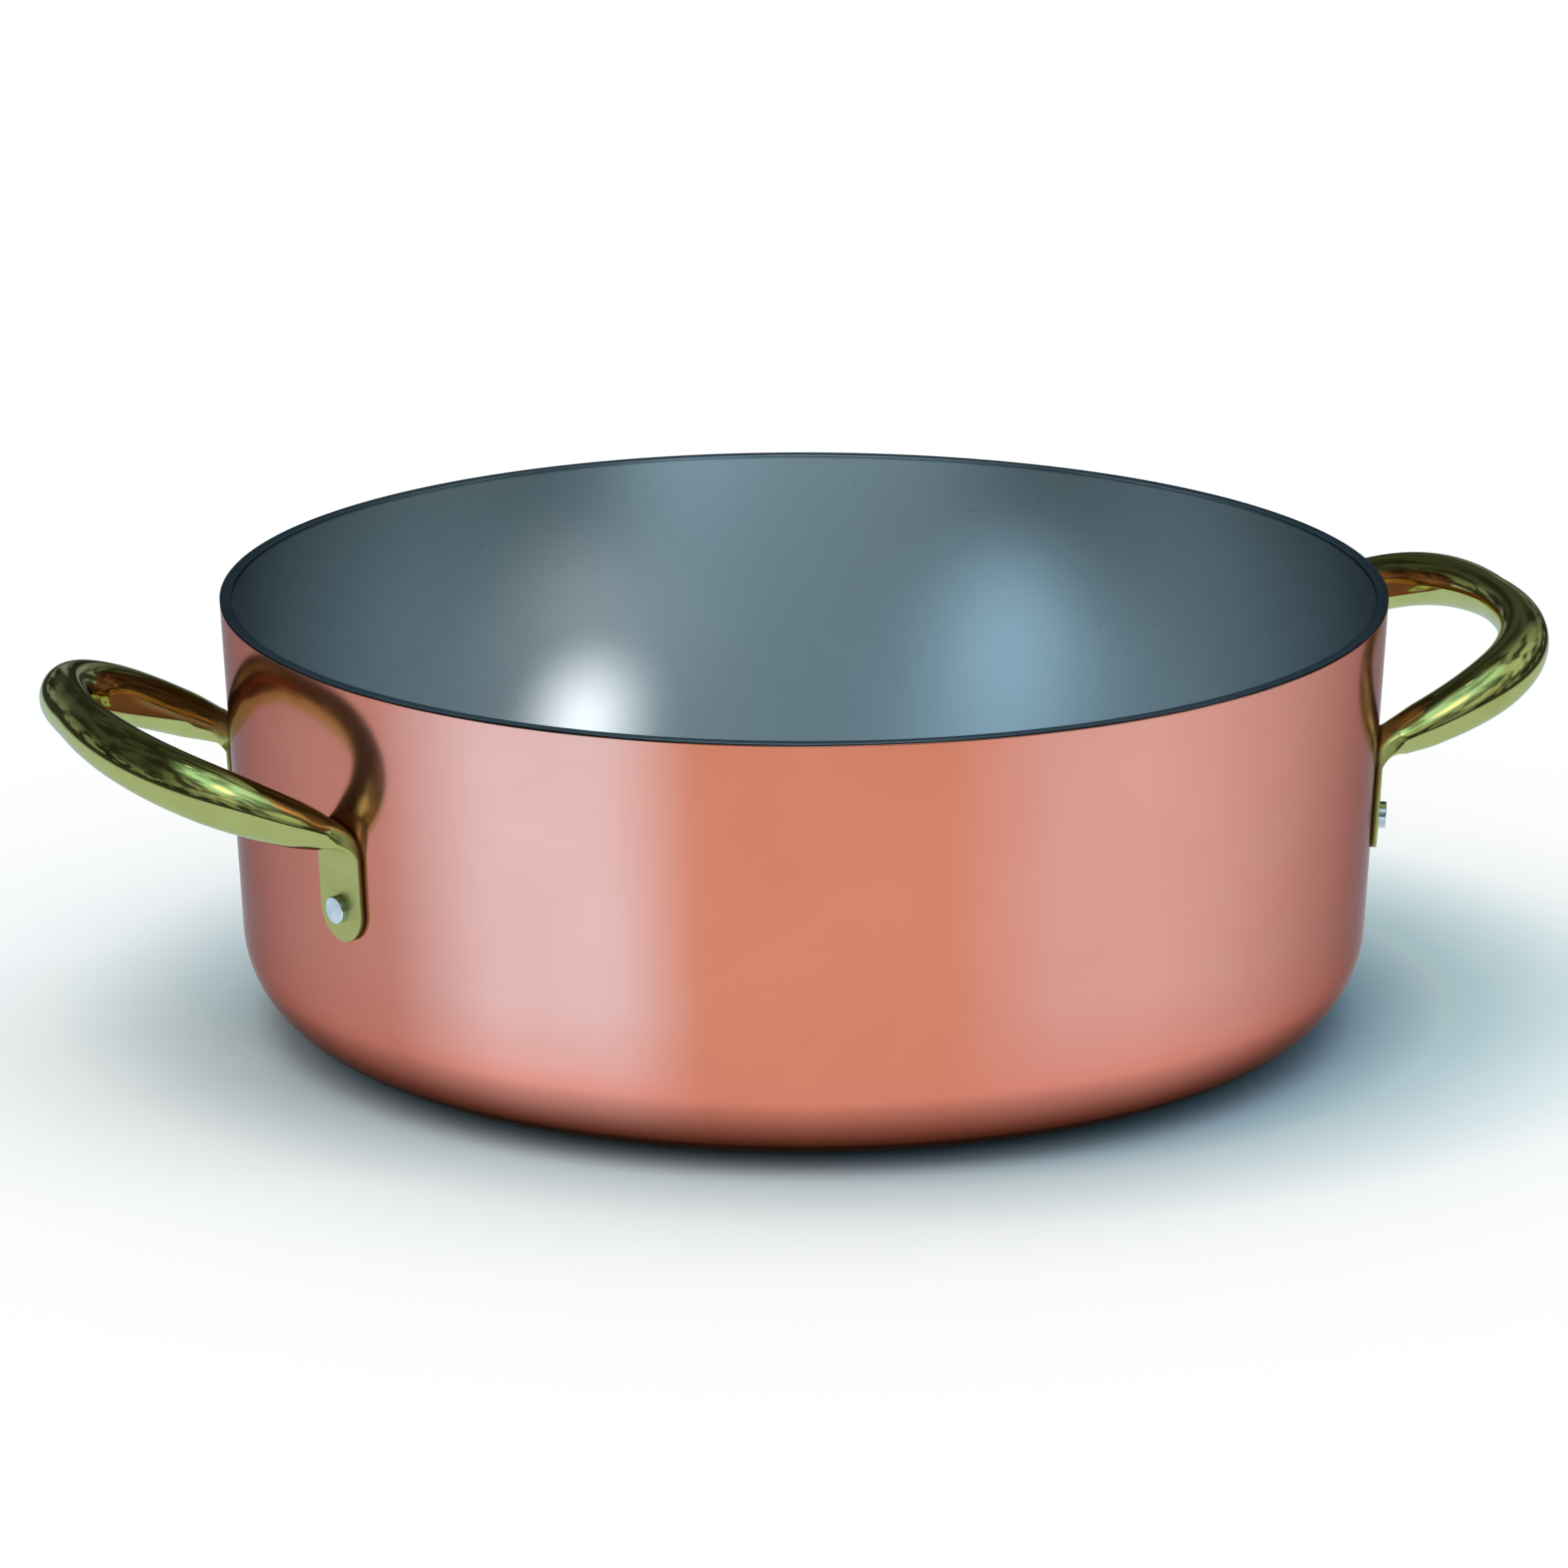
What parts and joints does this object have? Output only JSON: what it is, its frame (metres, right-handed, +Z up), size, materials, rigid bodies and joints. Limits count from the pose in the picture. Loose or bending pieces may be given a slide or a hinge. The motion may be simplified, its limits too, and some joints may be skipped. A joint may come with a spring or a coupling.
{
  "type": "casserole pan",
  "caption": "Shallow round copper casserole pan with a tin lining, a wall that leans out slightly, a rounded base corner and riveted brass bow handles, for the hob or the oven.",
  "frame": {"origin": "middle of the base, on the surface that the pan stands on", "axes": "+Z up along the pan's axis, +X through the right handle, +Y to the rear"},
  "size_m": [0.316, 0.24, 0.0895],
  "materials": {
    "copper": "satin-polished copper",
    "tin": "grey wiped tin, satin with a fine grain",
    "brass": "mirror-polished cast brass",
    "rivet_steel": "bright steel"
  },
  "bodies": {
    "root": {"copper_body": "copper", "tin_lining": "tin", "handle_right": "brass", "handle_left": "brass", "rivet_right_front": "rivet_steel", "rivet_right_rear": "rivet_steel", "rivet_left_front": "rivet_steel", "rivet_left_rear": "rivet_steel"}
  },
  "joints": []
}
